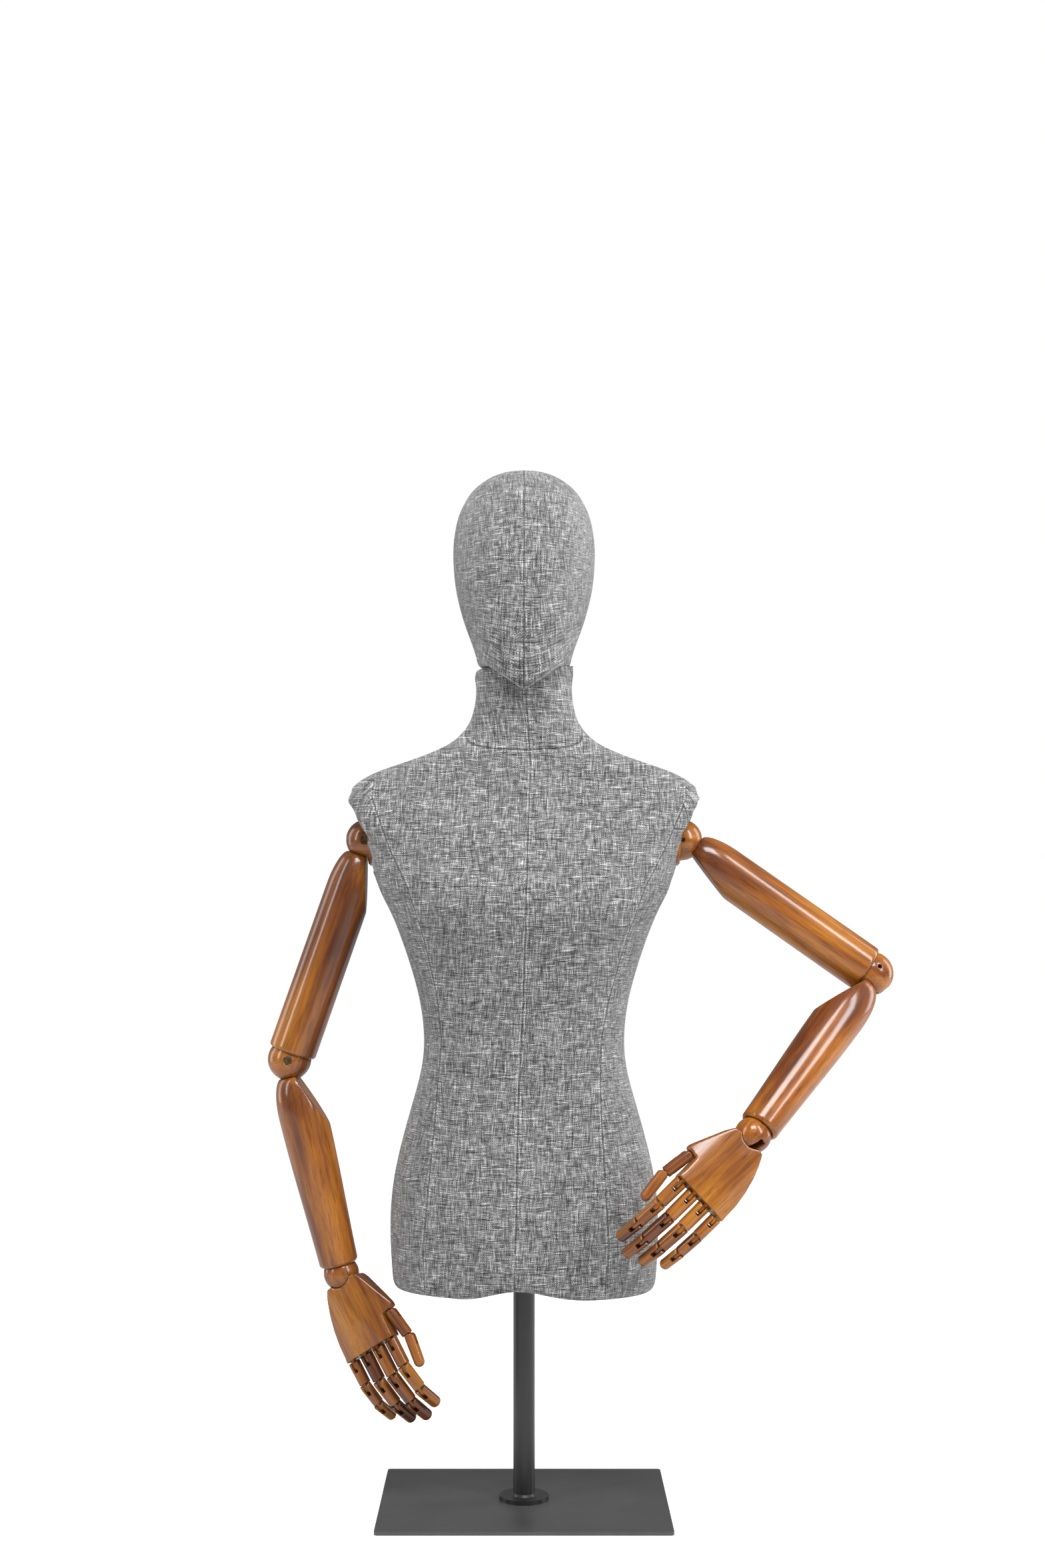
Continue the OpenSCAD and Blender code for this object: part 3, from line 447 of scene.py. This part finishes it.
def smooth_step(low, high, x):
    """0 at low and 1 at high, which may be the lower of the two."""
    t = min(max((x - low) / (high - low), 0), 1)
    return t * t * (3 - 2 * t)


def through(stops, z):
    """Value at height z of a line through the stops (height, value)."""
    if z <= stops[0][0]:
        return stops[0][1]
    for (z0, a), (z1, b) in zip(stops, stops[1:]):
        if z <= z1:
            t = (z - z0) / (z1 - z0)
            return a + (b - a) * t * t * (3 - 2 * t) if abs(b - a) > 0.03 else a + (b - a) * t
    return stops[-1][1]


# Distance of the front seams from the middle, by height above the floor.
PRINCESS = [(hem, 0.101), (hem + 0.055, 0.104), (hem + 0.21, 0.093), (hem + 0.285, 0.090),
            (hem + 0.335, 0.097), (hem + 0.40, 0.113), (hem + 0.46, 0.133), (hem + 0.505, 0.156),
            (hem + 0.56, 0.178)]
MIDDLE = [(hem, -0.011), (hem + 0.055, -0.0095), (hem + 0.23, -0.006), (hem + 0.355, 0.0),
          (hem + 0.51, 0.004), (hem + 0.60, 0.0075), (neck_top, 0.0)]
CLOTH_WALL = 0.003
SHOULDER_PUFF = 0.0068       # how far the cloth stands out over the shoulder ball
BACK_SEAM_SHARE = 0.86       # of the front seams' distance
COLLAR_DROP = 0.112          # of the collar seam below the top of the neck, at the front
COLLAR_RISE = 0.041          # of that seam from front to back


def puffed(x, z, ball_z, tip_z):
    """Where a point at the shoulder goes when its cloth is let out over the ball."""
    low = smooth_step(ball_z - 0.012, ball_z + 0.026, z)
    high = smooth_step(tip_z + 0.004, tip_z - 0.012, z)
    return x + math.copysign(SHOULDER_PUFF * low * high * smooth_step(0.152, 0.172, abs(x)), x)


def slope(stops, z):
    return (through(stops, z + 0.004) - through(stops, z - 0.004)) / 0.008


def write_attribute(mesh, name, values):
    layer = mesh.attributes.new(name, "FLOAT", "POINT")
    layer.data.foreach_set("value", values)


def torso_cloth():
    bm = outer_wall("torso_cover", "torso_form")
    cloth = woven_cloth("torso_linen", ["centre", "princess", "side", "collar"])
    made = piece("torso_cloth", bm, "torso", cloth, "cloth", "torso_cover", "torso_form")
    rounded_through(made, 2)
    mesh = made.data
    ball_z = joint_at("right_shoulder_lift").z
    tip_z = max(mesh.vertices, key=lambda v: abs(v.co.x)).co.z
    for v in mesh.vertices:
        v.co.x = puffed(v.co.x, v.co.z, ball_z, tip_z)
    centre, princess, side, collar, across, around, up = [], [], [], [], [], [], []
    for v in mesh.vertices:
        x, y, z = v.co
        mid = through(MIDDLE, z) if y < 0 else 0.0
        gap = through(PRINCESS, z)
        if y > 0:
            gap = gap * BACK_SEAM_SHARE
        lean = math.sqrt(1 + slope(PRINCESS, z) ** 2)
        tilt = max(abs(v.normal.y), 0.35)
        centre.append((x - mid) / tilt)
        princess.append((gap - abs(x - mid)) / lean / tilt)
        side.append(y - 0.004)
        dip = min(max((y + 0.072) / 0.055, -0.3), 1.15)
        collar.append((z - (neck_top - COLLAR_DROP + COLLAR_RISE * dip)) * 0.8)
        across.append(x - mid)
        turn = math.atan2(abs(x), -y)
        around.append(math.copysign(0.15 * turn, x))
        up.append(z)
    for name, values in (("centre", centre), ("princess", princess), ("side", side), ("collar", collar),
                         ("across", across), ("round", around), ("up", up)):
        write_attribute(mesh, name, values)
    smooth_faces(made)
    wall = made.modifiers.new("wall", "SOLIDIFY")
    wall.thickness = CLOTH_WALL
    wall.offset = -1
    return made


def head_cloth():
    """The head's cloth, with its edge turned in under the jaw and down onto the neck."""
    bm = outer_wall("head_cover", "head_form")
    jaw = [e for e in bm.edges if e.is_boundary]
    neck = 0.0568            # radius that the turned edge stands on
    for step in range(3):
        made = bmesh.ops.extrude_edge_only(bm, edges=jaw)["geom"]
        jaw = [g for g in made if isinstance(g, bmesh.types.BMEdge)]
        for v in [g for g in made if isinstance(g, bmesh.types.BMVert)]:
            across = Vector((v.co.x, v.co.y, 0))
            if step == 0:
                v.co -= across.normalized() * 0.005
                v.co.z += 0.0006
            elif step == 1:
                v.co = across.normalized() * min(neck, across.length - 0.001) + Vector((0, 0, v.co.z))
            else:
                v.co.z = neck_top + 0.0022
    bmesh.ops.recalc_face_normals(bm, faces=bm.faces)
    cloth = woven_cloth("head_linen", ["centre"])
    made = piece("head_cloth", bm, "head", cloth, "cloth", "head_cover", "head_form")
    rounded_through(made, 2)
    mesh = made.data
    low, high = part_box("head_cover")
    middle = Vector((0, (low.y + high.y) / 2, (low.z + high.z) / 2 + 0.02))
    centre, across, up = [], [], []
    for v in mesh.vertices:
        d = v.co - middle
        lat = math.atan2(d.z, math.hypot(d.x, d.y))
        lon = math.atan2(d.x, -d.y)
        centre.append(v.co.x)
        across.append(0.10 * lon * math.cos(lat))
        up.append(0.115 * lat)
    for name, values in (("centre", centre), ("across", across), ("up", up)):
        write_attribute(mesh, name, values)
    smooth_faces(made)
    return made


def ball_snap(centre, radius):
    """Puts points that lie close to a ball onto it."""
    def snap(p):
        away = p - centre
        return centre + away * (radius / away.length) if abs(away.length - radius) < 0.0009 else p
    return snap


def limb_snap(top, way, inner, radius_at, flat):
    """Puts points close to a turned limb, or to the flat at its top, onto them.

    flat is two (depth along the limb, height over its middle).
    """
    way = way.normalized()
    inner = (inner - way * inner.dot(way)).normalized()
    (d0, x0), (d1, x1) = flat
    lean = (x1 - x0) / (d1 - d0)
    size = math.sqrt(1 + lean * lean)

    def snap(p):
        depth = (p - top).dot(way)
        spoke = p - top - way * depth
        off = (spoke.dot(inner) - x0 - lean * (depth - d0)) / size
        radius = radius_at(depth)
        if radius and abs(spoke.length - radius) < 0.0011 and off < -0.0012:
            return p + spoke * (radius / spoke.length - 1)
        if abs(off) < 0.0011 and radius and spoke.length < radius - 0.0012:
            return p - (inner - way * lean) * (off / size)
        return p
    return snap


def upper_radius(d):
    if not 0.019 < d < 0.2555:
        return None
    if d < 0.062:
        return 0.0145 + 0.0125 * math.sin(math.acos(1 - (d - 0.018) / 0.044))
    return 0.027 + 0.0005 * (d - 0.062) / 0.1944


def fore_radius(d):
    if not 0.020 < d < 0.2395:
        return None
    if d < 0.066:
        return 0.014 + 0.014 * math.sin(math.acos(1 - (d - 0.019) / 0.047))
    return 0.028 - 0.006 * 1.03 * smooth_step(0, 1.25, (d - 0.066) / 0.1742)


def rounded_wood(name, body, grain, seed, voxel, turns, tone=1.0, snap=None, calm=None):
    """Rounds a wooden CAD node's edges, on a grid of voxel, smoothed turns times.

    snap moves a point onto the true surface, and calm says how much a point is smoothed.
    """
    # tone carries a piece's painted light and shade into its stain.
    stain = stained_wood(name + "_stain", grain, seed, tone)
    made = piece(name + "_wood", shape_of(name), body, stain, "wood", name)
    grid = made.modifiers.new("grid", "REMESH")
    grid.mode = "VOXEL"
    grid.voxel_size = voxel
    hug = made.modifiers.new("hug", "SHRINKWRAP")
    hug.target = nodes[name]
    hug.wrap_method = "NEAREST_SURFACEPOINT"
    if snap:
        settled_mesh(made)
        for v in made.data.vertices:
            v.co = snap(v.co)
    if calm:
        settled_mesh(made)
        group = made.vertex_groups.new(name="calm")
        for v in made.data.vertices:
            group.add([v.index], calm(v.co), "REPLACE")
    soft = made.modifiers.new("soft", "SMOOTH")
    soft.factor = 0.5
    soft.iterations = turns
    if calm:
        soft.vertex_group = "calm"
    settled_mesh(made)
    smooth_faces(made)
    made.data.materials.clear()
    made.data.materials.append(stain)
    return made


def fuller(start, way, gain):
    """Thicken a finger bone about its own axis, leaving its tongue and slot alone."""
    ahead = way.normalized()

    def snap(p):
        off = p - start
        axial = off.dot(ahead) * ahead
        radial = off - axial
        return p + (gain - 1) * radial * smooth_step(0.0035, 0.0055, radial.length)
    return snap


def joint_at(name):
    return Vector(joints[name]["pos_m"])


def middle_of(name):
    co = [v.co for v in nodes[name].data.vertices]
    return sum(co, Vector()) / len(co)


SHOULDER_BALL, ELBOW_BALL, WRIST_BALL = 0.024, 0.025, 0.0205        # radii
BALL_GRID, FINGER_GRID = 0.0009, 0.0006
FULLER_FINGERS = 1.13


def arm(side, seed):
    """The wooden pieces of one arm, from the shoulder ball to the fingertips."""
    shoulder = joint_at(side + "_shoulder_lift")
    elbow = joint_at(side + "_elbow_bend")
    wrist = joint_at(side + "_wrist_bend")
    out = 1 if side == "left" else -1
    inward = Vector((-out, 0, 0))
    # Painted light and shade: the left arm, on the side of the brighter lamps, has its wood painted lighter,
    # and the right arm, in shade, is painted darker.
    side_painted_light = 0.92 if side == "right" else 1.12
    upper_flat = ((0.0288, 0.010), (0.0808, 0.0273))
    fore_flat = ((0.025, 0.005), (0.0826, 0.0275))
    upper_way, fore_way = elbow - shoulder, wrist - elbow
    # Painted shade: the pieces that sit close against the body (shoulder ball, upper arm, palm and fingers)
    # get darker tone factors than the elbow, forearm, wrist and thumb, which stand away from it.
    rounded_wood(side + "_shoulder_ball", side + "_shoulder", (1, 0, 0), seed, BALL_GRID, 1,
                 side_painted_light * 0.85, snap=ball_snap(shoulder, SHOULDER_BALL))
    rounded_wood(side + "_upper_arm", side + "_upper_arm", upper_way, seed + 1, 0.0012, 2,
                 side_painted_light * 0.88,
                 snap=limb_snap(shoulder, upper_way, inward, upper_radius, upper_flat))
    rounded_wood(side + "_elbow_ball", side + "_elbow", upper_way, seed + 2, BALL_GRID, 1,
                 side_painted_light, snap=ball_snap(elbow, ELBOW_BALL))
    rounded_wood(side + "_forearm", side + "_forearm", fore_way, seed + 3, 0.0011, 2, side_painted_light,
                 snap=limb_snap(elbow, fore_way, shoulder - elbow, fore_radius, fore_flat))
    rounded_wood(side + "_wrist_ball", side + "_wrist", fore_way, seed + 4, BALL_GRID, 1,
                 side_painted_light, snap=ball_snap(wrist, WRIST_BALL))
    palm_way = joint_at(side + "_middle_base_bend") - wrist
    palm_end = palm_way.length
    ahead = palm_way.normalized()

    def palm_calm(p):
        """Smooths the back of the palm, and hardly the slots at its two ends."""
        from_knuckles = smooth_step(palm_end - 0.010, palm_end - 0.016, (p - wrist).dot(ahead))
        return 0.06 + 0.94 * from_knuckles * smooth_step(0.019, 0.027, (p - wrist).length)

    rounded_wood(side + "_palm", side + "_hand", palm_way, seed + 5, 0.0009, 26,
                 side_painted_light * 0.80, calm=palm_calm)
    for f, finger in enumerate(("index", "middle", "ring", "little")):
        for s, part in enumerate(("base", "mid", "tip")):
            name = f"{side}_{finger}_{part}"
            way = middle_of(name) - joint_at(name + "_bend")
            # Painted shade: each finger piece further out is painted darker, and the tips, where they curl in
            # against the body, are darkest.
            rounded_wood(name, name, way, seed + 7 + 3 * f + s, FINGER_GRID, 2,
                         side_painted_light * (0.86 - 0.07 * s),
                         snap=fuller(joint_at(name + "_bend"), way, FULLER_FINGERS))
    for s, part in enumerate(("base", "tip")):
        name = f"{side}_thumb_{part}"
        way = middle_of(name) - joint_at(name + "_open")
        rounded_wood(name, name, way, seed + 21 + s, FINGER_GRID, 2, side_painted_light)


def finish_nodes():
    """Materials of the CAD nodes that stay as they are."""
    steel = worn_bronze("screw_steel")
    black = painted_metal("pole_black", 0.010, 0.34, 0.0)
    grey = painted_metal("plate_grey", 0.062, 0.36, 0.35)
    shell_tone = (0.30, 0.29, 0.28)
    dress = {"base_plate": grey, "pole_flange": black, "pole": black, "pole_bolt": steel,
             "pole_socket": black, "body_screws": steel, "thumb_screw": black,
             "pole_bush": moulded("bush_nylon", (0.03, 0.03, 0.03), 0.5),
             "bottom_board": plain_board("chipboard"),
             "torso_form": moulded("shell_grey", shell_tone, 0.7),
             "head_form": moulded("head_shell_grey", shell_tone, 0.7),
             "shoulder_discs": stained_wood("disc_stain", (0, 0, 1), 3.3),
             "neck_peg": stained_wood("peg_stain", (0, 0, 1), 6.1)}
    for side in ("right", "left"):
        dress[side + "_shoulder_screw"] = dress[side + "_elbow_screw"] = steel
    for name, material in dress.items():
        mesh = nodes[name].data
        mesh.materials.clear()
        mesh.materials.append(material)


set_camera()
studio()
finish_nodes()
torso_cloth()
head_cloth()
arm("right", 11.0)
arm("left", 47.0)
